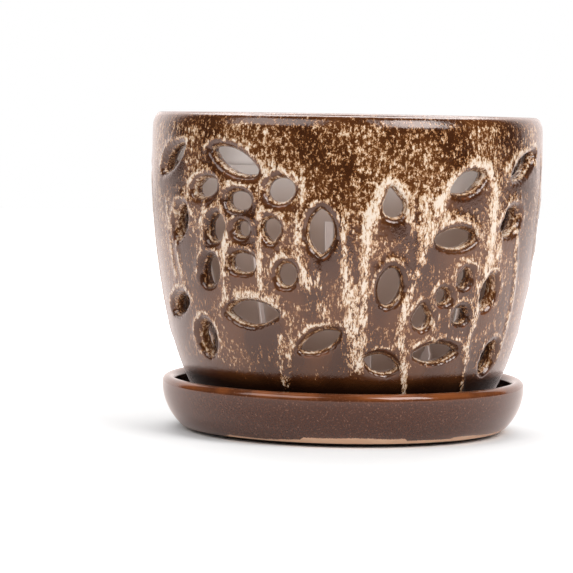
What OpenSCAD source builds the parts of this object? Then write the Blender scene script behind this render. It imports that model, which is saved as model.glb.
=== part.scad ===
// A slotted orchid pot on its saucer, with the slotted plastic growing liner that stands inside it.
// Millimetres. The origin is the centre of the saucer's base, on the table.
// +Z is up and the front, where azimuth is 0, faces -Y. Azimuth grows towards +X.

/* [Pot] */
// Outside diameter of the pot at its widest, a little under the rim
pot_d = 165; // [155:1:180]
// Height of the pot from its foot to the top of its rim
pot_h = 127.7; // [116:0.1:140]
// Thickness of the pot's wall
pot_wall = 6.5; // [5:0.5:8]
// Thickness of the pot's floor, over the recess in its foot
pot_floor = 5; // [4:0.5:7]
// Height of the widest point above the foot
belly_h = 112; // [100:1:118]
// Radius of the long curve of the upper wall
upper_curve_r = 330; // [280:5:500]
// Radius of the tighter curve that leads in to the foot
lower_curve_r = 110; // [100:1:140]
// Height above the foot at which the two curves meet
curve_joint_h = 39; // [34:1:46]
// Width of the foot ring that the pot stands on
foot_ring_w = 9; // [7:0.5:12]
// Depth of the recess inside the foot ring
foot_recess = 2; // [1:0.5:3]

/* [Drain holes in the pot's floor] */
// Diameter of the hole in the middle
drain_d = 20; // [14:1:24]
// Diameter of the holes around it
side_drain_d = 11; // [8:1:13]
// Radius of the circle that the holes around it lie on
side_drain_ring_r = 30; // [26:1:32]
// Number of holes around the middle one
side_drains = 4; // [3:1:6]

/* [Slots in the pot's wall] */
// Height of the lowest slots' centres above the pot's foot
slot_low_h = 28.5; // [27:0.5:34]
// Distance of the highest slots' centres below the top of the rim
slot_under_rim = 18.7; // [15:0.1:22]
// Size of every slot, as a share of its size in the lists below
slot_size = 1; // [0.8:0.05:1.1]

/* [Saucer] */
// Gap between the pot's wall and the saucer's lip
saucer_gap = 6.1; // [4:0.1:12]
// Height of the saucer from the table to the top of its lip
saucer_h = 22.5; // [20:0.5:28]
// Thickness of the saucer's wall and of its rounded lip
saucer_wall = 5.4; // [4.5:0.1:6.5]
// Thickness of the saucer's floor, measured over its foot ring
saucer_floor = 6; // [5:0.5:8]
// Radius of the saucer's bulging side
saucer_curve_r = 24; // [22:0.5:30]
// Width of the saucer's foot ring
saucer_ring_w = 11; // [8:0.5:14]
// Depth of the recess inside the saucer's foot ring
saucer_recess = 1.5; // [1:0.5:2.5]

/* [Growing liner] */
// Thickness of the liner's wall
liner_wall = 1.4; // [1:0.1:2]
// Thickness of the liner's floor
liner_floor = 1.6; // [1.2:0.1:2.4]
// Gap between the liner's lip and the pot's wall
liner_lip_gap = 1.4; // [0.8:0.1:3]
// How far the lip stands out from the rim band
liner_lip_out = 2.4; // [1.5:0.1:3.5]
// Thickness of the lip
liner_lip_t = 1.6; // [1.2:0.1:2.5]
// Distance of the lip's top below the pot's rim
liner_under_rim = 8.7; // [3:0.1:14]
// Height of the rim band, from the stacking step to the lip's top
liner_band_h = 12; // [8:0.5:16]
// How far the wall steps in under the rim band
liner_step_in = 1.6; // [1:0.1:2]
// Gap between the liner and the pot's wall at the pot's floor
liner_base_gap = 4; // [2:0.5:8]
// Height of the ring that the liner stands on
liner_foot_h = 2; // [1:0.5:3]
// Width of that ring
liner_foot_w = 4; // [3:0.5:6]

/* [Slots in the liner] */
// Number of long slots around the liner
liner_slots = 12; // [8:1:16]
// Width of a long slot
liner_slot_w = 3.2; // [2:0.1:4]
// Length of a long slot
liner_slot_l = 50; // [40:1:54]
// Height of the long slots' lower ends above the pot's floor
liner_slot_low = 28; // [26:1:34]
// Azimuth of the first long slot
liner_slot_turn = -6; // [-15:1:15]
// Width of the pointed windows between the long slots
window_w = 6; // [4:0.5:8]
// Height of a window's straight sides
window_h = 17; // [12:1:20]
// Height of the windows' sills above the pot's floor
window_low = 6; // [5:0.5:10]
// Diameter of the holes in the liner's floor
liner_hole_d = 7; // [4:0.5:8]
// Radius of the circle that those holes lie on
liner_hole_ring_r = 30; // [24:1:34]
// Number of holes in the liner's floor around the middle one
liner_holes = 8; // [6:1:10]

/* [Hidden] */
$fn = 96;

// How far a cutter runs past the surface that it cuts
past = 6;
// How far a slot's cutter runs past the inside of the pot's wall, which leans in the slot's height
past_inside = 9;
// How far round the pot the front's slots are repeated at the back
back_turn = 184;
// How far round the pot one side's slots are repeated on the other
side_turn = 163;
// How far the end arcs of a slot reach past its sides, so that the two cross and don't just touch
lap = 0.05;

pot_r = pot_d / 2;
pot_floor_top = foot_recess + pot_floor;
rim_r = pot_wall / 2;
rim_z = pot_h - rim_r;
saucer_lip_r = saucer_wall / 2;
saucer_lip_z = saucer_h - saucer_lip_r;

// The angle at which the upper curve has turned in where the lower curve takes over
joint_turn = asin((belly_h - curve_joint_h) / upper_curve_r);
upper_curve_x = pot_r - upper_curve_r;
lower_curve_x = upper_curve_x + (upper_curve_r - lower_curve_r) * cos(joint_turn);
lower_curve_z = curve_joint_h + lower_curve_r * sin(joint_turn);

// Radius of a circle of radius r about (x, z), at the height h
function arc_x(x, z, r, h) = x + sqrt(r * r - (h - z) * (h - z));

// Outside radius of the pot's wall, and of the surface that lies inset inside it, at a height above its foot
function wall_r(h, inset = 0) =
    h > curve_joint_h
        ? arc_x(upper_curve_x, belly_h, upper_curve_r - inset, h)
        : arc_x(lower_curve_x, lower_curve_z, lower_curve_r - inset, h);

pot_foot_r = wall_r(0);
rim_x = wall_r(rim_z) - rim_r;

// The saucer's lip goes round the pot, which stands on the saucer's floor
saucer_r = wall_r(saucer_lip_z - saucer_floor) + saucer_gap + saucer_wall;

// The liner is worked out from the pot that it stands in, in heights above the pot's foot
liner_top = pot_h - liner_under_rim;
liner_lip_r = wall_r(rim_z, pot_wall) - liner_lip_gap;
liner_band_r = liner_lip_r - liner_lip_out;
liner_step_z = liner_top - liner_band_h;
liner_neck_r = liner_band_r - liner_step_in;
liner_base_r = wall_r(pot_floor_top, pot_wall) - liner_base_gap;
liner_floor_z = pot_floor_top + liner_foot_h;

// Slots seen from outside: azimuth, level from 0 at the lowest slots to 1 at the highest,
// length, width, anticlockwise tilt of the length from level, and the radius of the two ends
OVAL_SLOTS = [
    // Under the rim
    [-61, 1.00, 24, 9, 30, 2],
    [-34, 1.00, 26, 11, -22, 2.5],
    [37, 0.91, 20.5, 10, 22, 1.8],
    [63, 0.99, 25, 9.5, 25, 2],
    // Second row
    [-45, 0.86, 16, 9.5, 15, 3.5],
    [-32.5, 0.80, 13.5, 10, 0, 4.5],
    [-19, 0.86, 14, 12, 20, 5],
    // Third row
    [-57, 0.68, 18, 11, 60, 3],
    [-7, 0.66, 20.5, 12.5, 90, 2.2],
    [-41, 0.66, 14, 11, 60, 4],
    [-31.5, 0.66, 9, 8.5, 0, 4],
    [34, 0.63, 21, 10, 4, 3],
    [56.5, 0.71, 16.5, 12, 35, 4.5],
    // Middle of the wall
    [-44.5, 0.44, 15, 11.5, 70, 4.5],
    [-32, 0.49, 14.5, 10, 0, 4.5],
    [-17.5, 0.44, 11.5, 10, 80, 4.5],
    [13.6, 0.39, 17.5, 11.5, 80, 4],
    [38.4, 0.43, 9.5, 8, 70, 3.5],
    [31.3, 0.34, 8.4, 8, 0, 3.8],
    [49, 0.35, 16.5, 11, 75, 3],
    // Lower wall
    [-64, 0.25, 21, 9.5, 20, 3],
    [-30, 0.24, 26, 12, 0, 1.8],
    [38.7, 0.24, 9.6, 8.2, 0, 4],
    // Above the foot
    [-50, 0.09, 16.5, 13, 80, 5],
    [-7.5, 0.11, 20, 9.5, 25, 1.8],
    [12.5, 0.00, 16.5, 9.5, -15, 1.8],
    [31.5, 0.05, 22.5, 9.5, 3, 1.8],
    [57, 0.01, 15.5, 12.5, 75, 4.5]
];

// The slots of each side, which fill the wall between the front and the back, in the same terms
SIDE_SLOTS = [
    [101, 0.97, 19, 10, -14, 2.2],
    [91.5, 0.76, 13, 11, 70, 4.5],
    [106, 0.75, 15, 11.5, 10, 4.5],
    [95, 0.54, 21, 10.5, 12, 2.5],
    [91, 0.30, 15, 11, 80, 4],
    [102.5, 0.38, 10, 9, 0, 4],
    [96, 0.07, 20, 10, -10, 2]
];

// Drop-shaped slots: azimuth, level, length, width, tilt of the point from straight up, radius of the point
DROP_SLOTS = [
    [-22, 0.66, 11.5, 10, 180, 2.5],
    [13.5, 0.81, 14.5, 11, 10, 2],
    [24.5, 0.24, 12, 9.4, 0, 2]
];

// An oval of two end arcs and two side arcs that run into each other. Small end arcs make it a leaf
module oval(length, width, end_r) {
    reach = length / 2 - end_r;
    rise = width / 2 - end_r;
    side_drop = (reach * reach - rise * rise) / (2 * rise);
    side_r = width / 2 + side_drop;
    meet_x = reach + end_r * reach / (side_r - end_r);
    for (side = [-1, 1])
        translate([side * reach, 0])
            circle(r = end_r + lap);
    intersection() {
        translate([0, -side_drop])
            circle(r = side_r);
        translate([0, side_drop])
            circle(r = side_r);
        square([2 * meet_x, width], center = true);
    }
}

// A drop: a large arc below, a small one above, and straight sides between them
module drop(length, width, point_r) {
    large_r = width / 2;
    large_y = large_r - length / 2;
    point_y = length / 2 - point_r;
    turn = asin((large_r - point_r) / (point_y - large_y));
    large_x = large_r * cos(turn);
    large_top = large_y + large_r * sin(turn);
    point_x = point_r * cos(turn);
    point_top = point_y + point_r * sin(turn);
    translate([0, large_y])
        circle(r = large_r + lap);
    translate([0, point_y])
        circle(r = point_r + lap);
    polygon([
        [-large_x, large_top],
        [large_x, large_top],
        [point_x, point_top],
        [-point_x, point_top]
    ]);
}

// A straight cutter with the outline of its children, driven into the pot's wall towards the axis
module through_wall(azimuth, level, tilt) {
    h = slot_low_h + level * (pot_h - slot_under_rim - slot_low_h);
    rotate([0, 0, azimuth])
        translate([0, -wall_r(h) + pot_wall + past_inside, h])
            rotate([90, 0, 0])
                linear_extrude(height = pot_wall + past_inside + past)
                    rotate([0, 0, tilt])
                        children();
}

// The ovals and leaves of one list
module oval_slots(list) {
    for (s = list)
        through_wall(s[0], s[1], s[4])
            oval(s[2] * slot_size, s[3] * slot_size, s[5] * slot_size);
}

// The slots of the front, which the back repeats
module front_slots() {
    oval_slots(OVAL_SLOTS);
    for (s = DROP_SLOTS)
        through_wall(s[0], s[1], s[4])
            drop(s[2] * slot_size, s[3] * slot_size, s[5] * slot_size);
}

// Everything inside the surface that lies inset inside the pot's wall, between two heights
module pot_body_2d(inset, low, high) {
    if (high > curve_joint_h)
        intersection() {
            translate([upper_curve_x, belly_h])
                circle(r = upper_curve_r - inset);
            translate([0, curve_joint_h])
                square([pot_r + past, high - curve_joint_h]);
        }
    intersection() {
        translate([lower_curve_x, lower_curve_z])
            circle(r = lower_curve_r - inset);
        translate([0, low])
            square([pot_r + past, min(high, curve_joint_h) - low]);
    }
}

// The pot is one fired piece, drawn as two solids that meet in the plane of its floor
module pot_base_profile() {
    difference() {
        pot_body_2d(0, 0, pot_floor_top);
        translate([0, -past])
            square([pot_foot_r - foot_ring_w, foot_recess + past]);
    }
}

module pot_shell_profile() {
    difference() {
        pot_body_2d(0, pot_floor_top, rim_z);
        pot_body_2d(pot_wall, 0, rim_z + past);
    }
    translate([rim_x, rim_z])
        circle(r = rim_r);
}

// The pot's foot ring and floor, with its drain holes
module pot_base() {
    color("#5c3b28")
        translate([0, 0, saucer_floor])
            difference() {
                rotate_extrude()
                    pot_base_profile();
                translate([0, 0, -past])
                    cylinder(d = drain_d, h = pot_floor_top + 2 * past);
                for (i = [0 : side_drains - 1])
                    rotate([0, 0, (i + 0.5) * 360 / side_drains])
                        translate([side_drain_ring_r, 0, -past])
                            cylinder(d = side_drain_d, h = pot_floor_top + 2 * past);
            }
}

// The pot's wall and rim, with the hand-cut slots
module pot_shell() {
    color("#5c3b28")
        translate([0, 0, saucer_floor])
            difference() {
                rotate_extrude()
                    pot_shell_profile();
                front_slots();
                rotate([0, 0, back_turn])
                    front_slots();
                oval_slots(SIDE_SLOTS);
                rotate([0, 0, side_turn])
                    oval_slots(SIDE_SLOTS);
            }
}

// Everything inside the surface that lies inset inside the saucer's bulging side, above a height
module saucer_body_2d(inset, low, high) {
    intersection() {
        translate([saucer_r - saucer_curve_r, saucer_lip_z])
            circle(r = saucer_curve_r - inset);
        translate([saucer_r - saucer_curve_r, low])
            square([saucer_curve_r + past, high - low]);
    }
    translate([0, low])
        square([saucer_r - saucer_curve_r, high - low]);
}

// Glazed stoneware saucer, thrown with a rounded lip and a trimmed foot ring
module saucer() {
    foot_r = arc_x(saucer_r - saucer_curve_r, saucer_lip_z, saucer_curve_r, 0);
    color("#7d5f50")
        rotate_extrude() {
            difference() {
                saucer_body_2d(0, 0, saucer_lip_z);
                saucer_body_2d(saucer_wall, saucer_floor, saucer_lip_z + past);
                translate([0, -past])
                    square([foot_r - saucer_ring_w, saucer_recess + past]);
            }
            translate([saucer_r - saucer_lip_r, saucer_lip_z])
                circle(r = saucer_lip_r);
        }
}

// Half of the liner's section: foot ring, floor, tapered wall, stacking step, rim band and lip
module liner_profile() {
    polygon([
        [0, liner_floor_z],
        [liner_base_r - liner_foot_w, liner_floor_z],
        [liner_base_r - liner_foot_w, pot_floor_top],
        [liner_base_r, pot_floor_top],
        [liner_neck_r, liner_step_z],
        [liner_band_r, liner_step_z],
        [liner_band_r, liner_top - liner_lip_t],
        [liner_lip_r, liner_top - liner_lip_t],
        [liner_lip_r, liner_top],
        [liner_band_r - liner_wall, liner_top],
        [liner_band_r - liner_wall, liner_step_z + liner_wall],
        [liner_neck_r - liner_wall, liner_step_z + liner_wall],
        [liner_base_r - liner_wall, liner_floor_z + liner_floor],
        [0, liner_floor_z + liner_floor]
    ]);
}

// A pointed window: straight sides under two arcs that meet in a point
module window_2d() {
    translate([-window_w / 2, 0])
        square([window_w, window_h]);
    intersection() {
        translate([-window_w / 2, window_h])
            circle(r = window_w);
        translate([window_w / 2, window_h])
            circle(r = window_w);
        translate([-window_w, window_h])
            square(2 * window_w);
    }
}

// Frosted plastic growing liner, which stands on the pot's floor and lifts out by its lip
module liner() {
    wall_depth = liner_neck_r - liner_base_r + liner_wall;
    color("#c4bdb8")
        translate([0, 0, saucer_floor])
            difference() {
                rotate_extrude()
                    liner_profile();
                for (i = [0 : liner_slots - 1])
                    rotate([0, 0, liner_slot_turn + i * 360 / liner_slots])
                        translate([-liner_slot_w / 2, -liner_neck_r, pot_floor_top + liner_slot_low])
                            cube([liner_slot_w, wall_depth, liner_slot_l]);
                for (i = [0 : liner_slots - 1])
                    rotate([0, 0, liner_slot_turn + (i + 0.5) * 360 / liner_slots])
                        translate([0, -liner_base_r + 2 * liner_wall, pot_floor_top + window_low])
                            rotate([90, 0, 0])
                                linear_extrude(height = wall_depth)
                                    window_2d();
                cylinder(d = liner_hole_d, h = liner_floor_z + liner_floor + past);
                for (i = [0 : liner_holes - 1])
                    rotate([0, 0, i * 360 / liner_holes])
                        translate([liner_hole_ring_r, 0, 0])
                            cylinder(d = liner_hole_d, h = liner_floor_z + liner_floor + past);
            }
}

saucer();
pot_base();
pot_shell();
liner();
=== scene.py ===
# %% [markdown]
# # A slotted orchid pot
# The real thing is three pieces: a thrown stoneware pot whose wall is cut through with leaf-shaped
# slots, the saucer it stands in, and a frosted plastic growing liner that lifts out for watering.
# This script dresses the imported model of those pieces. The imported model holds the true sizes, so
# every piece made here starts from it or from its measurements, and rides on its body.

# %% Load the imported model
import math
from types import SimpleNamespace

import bmesh
import bpy
import numpy as np
from mathutils import Matrix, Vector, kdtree


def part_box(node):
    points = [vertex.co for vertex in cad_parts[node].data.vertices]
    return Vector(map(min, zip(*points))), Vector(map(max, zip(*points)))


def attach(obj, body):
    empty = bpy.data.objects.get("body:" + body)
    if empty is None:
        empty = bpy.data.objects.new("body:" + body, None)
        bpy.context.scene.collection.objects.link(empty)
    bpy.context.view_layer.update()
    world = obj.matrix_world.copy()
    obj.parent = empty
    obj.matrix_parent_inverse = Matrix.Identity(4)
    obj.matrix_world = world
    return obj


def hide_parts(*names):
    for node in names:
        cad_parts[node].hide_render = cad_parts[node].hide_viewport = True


MM = 0.001

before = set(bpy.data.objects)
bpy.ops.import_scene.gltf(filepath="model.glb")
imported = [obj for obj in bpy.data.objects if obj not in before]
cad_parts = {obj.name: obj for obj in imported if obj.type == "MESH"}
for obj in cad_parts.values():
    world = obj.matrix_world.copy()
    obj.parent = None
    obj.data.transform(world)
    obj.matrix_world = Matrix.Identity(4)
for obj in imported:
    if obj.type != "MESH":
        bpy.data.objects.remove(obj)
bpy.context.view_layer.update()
bpy.ops.object.select_all(action="DESELECT")

# %% [markdown]
# ## Colours and nodes
# Glaze colours are easiest to name as they look on a screen, in hex, and Blender mixes light in
# linear values, so one function turns the first into the second. A second function adds any shader
# node: its settings are keywords, and its inputs are numbers, outputs or whole nodes. Four kinds
# of node come back all the time, so they get short names: a step of arithmetic, a rise from one
# value to another over a range, a mix of two numbers or colours, and noise.

# %% Colour and node helpers
MATH = "ShaderNodeMath"
RANGE = "ShaderNodeMapRange"
MIX = "ShaderNodeMix"
NOISE = "ShaderNodeTexNoise"
SMOOTH = {"interpolation_type": "SMOOTHSTEP"}
COLOURS = {"data_type": "RGBA"}


def linear(colour):
    """A hex colour as seen on a screen, as the linear RGBA that a shader wants."""
    parts = [int(colour[i : i + 2], 16) / 255 for i in (1, 3, 5)]
    return [c / 12.92 if c <= 0.04045 else ((c + 0.055) / 1.055) ** 2.4 for c in parts] + [1.0]


def add(tree, kind, inputs=(), **settings):
    """Adds a node with its settings and inputs. A node given as input stands for its output."""
    made = tree.nodes.new(kind)
    for name, value in settings.items():
        setattr(made, name, value)
    if not isinstance(inputs, dict):
        inputs = dict(enumerate(inputs))
    for key, value in inputs.items():
        if isinstance(value, bpy.types.Node):
            value = next(output for output in value.outputs if output.enabled)
        if isinstance(value, bpy.types.NodeSocket):
            tree.links.new(value, made.inputs[key])
        else:
            made.inputs[key].default_value = value
    return made


def new_material(name):
    """An empty node material, and its tree."""
    material = bpy.data.materials.new(name)
    material.use_nodes = True
    material.node_tree.nodes.clear()
    return material, material.node_tree


# %% [markdown]
# ## The camera
# The photograph was taken from a little above the rim and more than a metre away, with a long lens,
# and the pot stands to the right of the middle. Turning the camera a little to the left and tipping
# it down gives the same framing without any lens shift.

# %% Camera
CAMERA_DISTANCE = 1226 * MM
CAMERA_HEIGHT = 141.5 * MM
CAMERA_LENS = 181.6
CAMERA_TURN = 1.155
CAMERA_PITCH = -3.79
CAMERA_ROLL = 1.0

camera = bpy.data.objects.new("camera", bpy.data.cameras.new("camera"))
bpy.context.collection.objects.link(camera)
camera.data.sensor_width = 36
camera.data.lens = CAMERA_LENS
camera.matrix_world = (
    Matrix.Translation((0, -CAMERA_DISTANCE, CAMERA_HEIGHT))
    @ Matrix.Rotation(math.radians(CAMERA_TURN), 4, "Z")
    @ Matrix.Rotation(math.radians(90 + CAMERA_PITCH), 4, "X")
    @ Matrix.Rotation(math.radians(CAMERA_ROLL), 4, "Z")
)
bpy.context.scene.camera = camera
bpy.context.scene.view_settings.view_transform = "Standard"

# %% [markdown]
# ## The pot's body
# The slots were cut with a knife in leather-hard clay, and the potter sponged their edges round.
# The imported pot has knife-sharp edges, and its foot and its wall are two solids that meet in the
# plane of the floor. Copies of both are merged and joined, and a voxel remesh makes them one skin
# of small even triangles, so that a few rounds of smoothing take the sharp edges off, as the
# sponge did.


# %% Helpers that work on one object
def activate(piece):
    """Selects this object alone."""
    bpy.ops.object.select_all(action="DESELECT")
    piece.select_set(True)
    bpy.context.view_layer.objects.active = piece


def copy_of_node(node, name):
    """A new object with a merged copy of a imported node's mesh, which stands in for the node."""
    piece = bpy.data.objects.new(name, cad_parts[node].data.copy())
    bpy.context.collection.objects.link(piece)
    piece.data.materials.clear()
    activate(piece)
    bpy.ops.object.mode_set(mode="EDIT")
    bpy.ops.mesh.select_all(action="SELECT")
    bpy.ops.mesh.remove_doubles(threshold=0.001 * MM)
    bpy.ops.object.mode_set(mode="OBJECT")
    return piece


def apply_modifier(piece, kind, **settings):
    """Adds a modifier with these settings and applies it."""
    activate(piece)
    modifier = piece.modifiers.new(kind.lower(), kind)
    for name, value in settings.items():
        setattr(modifier, name, value)
    bpy.ops.object.modifier_apply(modifier=modifier.name)


def points_of(piece):
    """The mesh's vertices in millimetres, one row each."""
    flat = np.empty(len(piece.data.vertices) * 3, np.float32)
    piece.data.vertices.foreach_get("co", flat)
    return flat.reshape(-1, 3).astype(float) / MM


def set_points(piece, points):
    """Moves the mesh's vertices to these places in millimetres."""
    piece.data.vertices.foreach_set("co", (points * MM).astype(np.float32).ravel())
    piece.data.update()


def set_attribute(piece, name, values):
    """Stores one number per vertex, for the materials to read."""
    attribute = piece.data.attributes.new(name, "FLOAT", "POINT")
    attribute.data.foreach_set("value", np.asarray(values, np.float32))


def ease(values, low, high):
    """0 below low, 1 above high and a smooth rise between."""
    share = np.clip((values - low) / (high - low), 0, 1)
    return share * share * (3 - 2 * share)


# %% [markdown]
# The wall's outline is two arcs, a long one for the upper wall and a tighter one that leads in to
# the foot. Knowing it exactly is worth the few lines: it tells outside from inside, and it lets the
# wall between the slots be put back where it was after the smoothing.

# %% The pot's outline
POT_FOOT_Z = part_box("pot_base")[0].z / MM
POT_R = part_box("pot_shell")[1].x / MM
POT_WALL = 6.5
POT_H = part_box("pot_shell")[1].z / MM - POT_FOOT_Z
BELLY_H = 112
UPPER_CURVE_R = 330
LOWER_CURVE_R = 110
CURVE_JOINT_H = 39
POT_FLOOR_H = 7

JOINT_TURN = math.asin((BELLY_H - CURVE_JOINT_H) / UPPER_CURVE_R)
UPPER_CURVE_X = POT_R - UPPER_CURVE_R
LOWER_CURVE_X = UPPER_CURVE_X + (UPPER_CURVE_R - LOWER_CURVE_R) * math.cos(JOINT_TURN)
LOWER_CURVE_H = CURVE_JOINT_H + LOWER_CURVE_R * math.sin(JOINT_TURN)


def wall_radius(h, inset=0):
    """Radius of the wall's outside, or of a surface inset in it, at heights above the foot."""
    upper = UPPER_CURVE_X + np.sqrt((UPPER_CURVE_R - inset) ** 2 - (h - BELLY_H) ** 2)
    lower = LOWER_CURVE_X + np.sqrt((LOWER_CURVE_R - inset) ** 2 - (h - LOWER_CURVE_H) ** 2)
    return np.where(h > CURVE_JOINT_H, upper, lower)


def around(points):
    """Radius, azimuth in degrees from the front towards +X, and height above the pot's foot."""
    radius = np.hypot(points[:, 0], points[:, 1])
    azimuth = np.degrees(np.arctan2(points[:, 0], -points[:, 1]))
    return radius, azimuth, points[:, 2] - POT_FOOT_Z


# %% [markdown]
# The glaze reacts to the slots, so the slots' outlines have to be known. They are read from the
# packed pot itself: an outline is where a face of the outer wall meets a face of a slot, at an
# angle, and each closed outline is one slot.

# %% Find the slots' outlines
OUTLINE_STEP = 0.4
OUTLINE_ANGLE = 25
ON_WALL = 0.1
# All slots lie between these heights above the pot's foot
SLOTS_FROM = 12
SLOTS_TO = POT_H - 5


def slot_outlines(piece):
    """Points along each slot's outline on the outer wall, in millimetres, one array per slot."""
    mesh = bmesh.new()
    mesh.from_mesh(piece.data)
    sharp = []
    for edge in mesh.edges:
        ends = np.array([v.co for v in edge.verts]) / MM
        radius, _, h = around(ends)
        inside_slots = (h > SLOTS_FROM).all() and (h < SLOTS_TO).all()
        if not inside_slots or np.abs(radius - wall_radius(h)).max() > ON_WALL:
            continue
        if edge.calc_face_angle(0) > math.radians(OUTLINE_ANGLE):
            sharp.append(edge)
    outlines = []
    left = set(sharp)
    while left:
        stack = [left.pop()]
        outline = []
        while stack:
            edge = stack.pop()
            a, b = (np.array(v.co) / MM for v in edge.verts)
            count = max(1, round(np.linalg.norm(b - a) / OUTLINE_STEP))
            outline += [a + (b - a) * i / count for i in range(count)]
            for vertex in edge.verts:
                for other in vertex.link_edges:
                    if other in left:
                        left.remove(other)
                        stack.append(other)
        outlines.append(np.array(outline))
    mesh.free()
    return outlines


pot = copy_of_node("pot_shell", "glazed_pot")
outlines = slot_outlines(pot)
print("slots found", len(outlines), "points", sum(len(o) for o in outlines))

# %% [markdown]
# Each point of the remeshed pot then learns how far it is from the nearest outline, and whether it
# lies above that slot, beside it or below it. A k-d tree answers the first question quickly. The
# inside of the pot is plain and mostly hidden, so its triangles are thinned out first, and the
# outside keeps nearly all of its own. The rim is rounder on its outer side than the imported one.

# %% Remesh, soften and put the wall back
VOXEL = 0.8 * MM
SOFTENING_ROUNDS = 9
POT_TRIANGLES = 195000
INSIDE_SHARE = 0.1
# The inside, from this share of the wall's thickness inwards, and the underside are hardly seen
HIDDEN_SHARE = 0.9
HIDDEN_FOOT_H = 0.5
UPRIGHT_FROM_H = 3
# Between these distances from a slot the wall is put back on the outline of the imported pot
SOFT_NEAR = 2.0
SOFT_FAR = 3.2
# A point this close to the outline belongs to the wall's outside
NEAR_OUTLINE = 0.6
RIM_DROP = 6.0


def nearest_outline(points):
    """Distance to the nearest slot outline, that outline's point, and its slot's centre."""
    tree = kdtree.KDTree(sum(len(o) for o in outlines))
    spots = np.vstack(outlines)
    centres = np.vstack([np.repeat(o.mean(axis=0)[None], len(o), axis=0) for o in outlines])
    for i, spot in enumerate(spots):
        tree.insert(spot, i)
    tree.balance()
    found = [tree.find(p) for p in points]
    index = np.array([f[1] for f in found])
    return np.array([f[2] for f in found]), spots[index], centres[index]


def thin_out(piece, chosen, ratio):
    """Collapses the triangles between the chosen vertices to a share of their number."""
    activate(piece)
    piece.data.vertices.foreach_set("select", chosen)
    bpy.ops.object.mode_set(mode="EDIT")
    bpy.ops.mesh.select_mode(type="VERT")
    bpy.ops.mesh.decimate(ratio=ratio)
    bpy.ops.object.mode_set(mode="OBJECT")


foot = copy_of_node("pot_base", "pot_foot")
activate(pot)
foot.select_set(True)
bpy.ops.object.join()
apply_modifier(pot, "REMESH", mode="VOXEL", voxel_size=VOXEL)
apply_modifier(pot, "SMOOTH", factor=0.5, iterations=SOFTENING_ROUNDS)
apply_modifier(pot, "TRIANGULATE")
radius, azimuth, h = around(points_of(pot))
hidden = (radius < wall_radius(h, POT_WALL * HIDDEN_SHARE)) | (h < HIDDEN_FOOT_H)
thin_out(pot, hidden, INSIDE_SHARE)
if len(pot.data.polygons) > POT_TRIANGLES:
    ratio = POT_TRIANGLES / len(pot.data.polygons)
    apply_modifier(pot, "DECIMATE", decimate_type="COLLAPSE", ratio=ratio)
print("pot triangles", len(pot.data.polygons))

points = points_of(pot)
radius, azimuth, h = around(points)
edge_distance, edge_spot, slot_centre = nearest_outline(points)
outside = wall_radius(h) - radius
on_upright_wall = (h > UPRIGHT_FROM_H) & (h < POT_H - POT_WALL / 2)
plain_outside = on_upright_wall & (np.abs(outside) < NEAR_OUTLINE) & (edge_distance > SOFT_NEAR)
back_to_wall = np.where(plain_outside, ease(edge_distance, SOFT_NEAR, SOFT_FAR), 0)
new_radius = radius + outside * back_to_wall

# The rim's outer side is a quarter of an ellipse that starts further down than the round one.
# Both stop just short of the very top, where the narrowing would be by nothing.
round_r = POT_WALL / 2
rim_x = float(wall_radius(np.array(POT_H - round_r))) - round_r
above_centre = np.clip(h - (POT_H - round_r), 0, round_r * 0.98)
up_ellipse = np.clip(h - (POT_H - RIM_DROP), 0, RIM_DROP * 0.985)
narrower = np.sqrt(1 - (up_ellipse / RIM_DROP) ** 2) / np.sqrt(1 - (above_centre / round_r) ** 2)
on_rim = (h > POT_H - RIM_DROP) & (radius > rim_x)
new_radius = np.where(on_rim, rim_x + (new_radius - rim_x) * np.minimum(narrower, 1), new_radius)
points[:, :2] *= (new_radius / np.maximum(radius, 0.1))[:, None]
set_points(pot, points)


# %% [markdown]
# Behind their sponged edges the sides of the slots lean in a little, which makes the edges look
# thick and soft. The points of a slot's side are known by their normals, which lie along the wall.


# %% Lean the slots' sides in
LEAN_IN = 1.3
LEAN_DEPTH = 3.2


def normals_of(piece):
    """The mesh's vertex normals, one row each."""
    flat = np.empty(len(piece.data.vertices) * 3, np.float32)
    piece.data.vertices.foreach_get("normal", flat)
    return flat.reshape(-1, 3).astype(float)


points = points_of(pot)
radius, azimuth, h = around(points)
normals = normals_of(pot)
outwards = points * (1, 1, 0) / np.maximum(radius, 0.1)[:, None]
faces_out = (normals * outwards).sum(axis=1)
in_slot = ease(wall_radius(h) - radius, 0.2, LEAN_DEPTH) * (1 - ease(np.abs(faces_out), 0.5, 0.85))
in_slot = in_slot * (h > SLOTS_FROM) * (h < SLOTS_TO)
along_wall = normals - outwards * faces_out[:, None]
set_points(pot, points + along_wall * (LEAN_IN * in_slot)[:, None])

# %% [markdown]
# ## Where the cream glaze lies
# Two glazes meet on this pot. A dark brown one covers it all, and a cream one was poured over the
# top. In the kiln the cream ran down: it is caught in a thick ring round the top and sides of each
# slot, leaves a bare brown shadow under it, and makes runs that find their way down between the
# slots. The potter doesn't place the runs, so they are a short list of paths in azimuth and
# height. As with the slots, the back repeats the front and one side the other.

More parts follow.
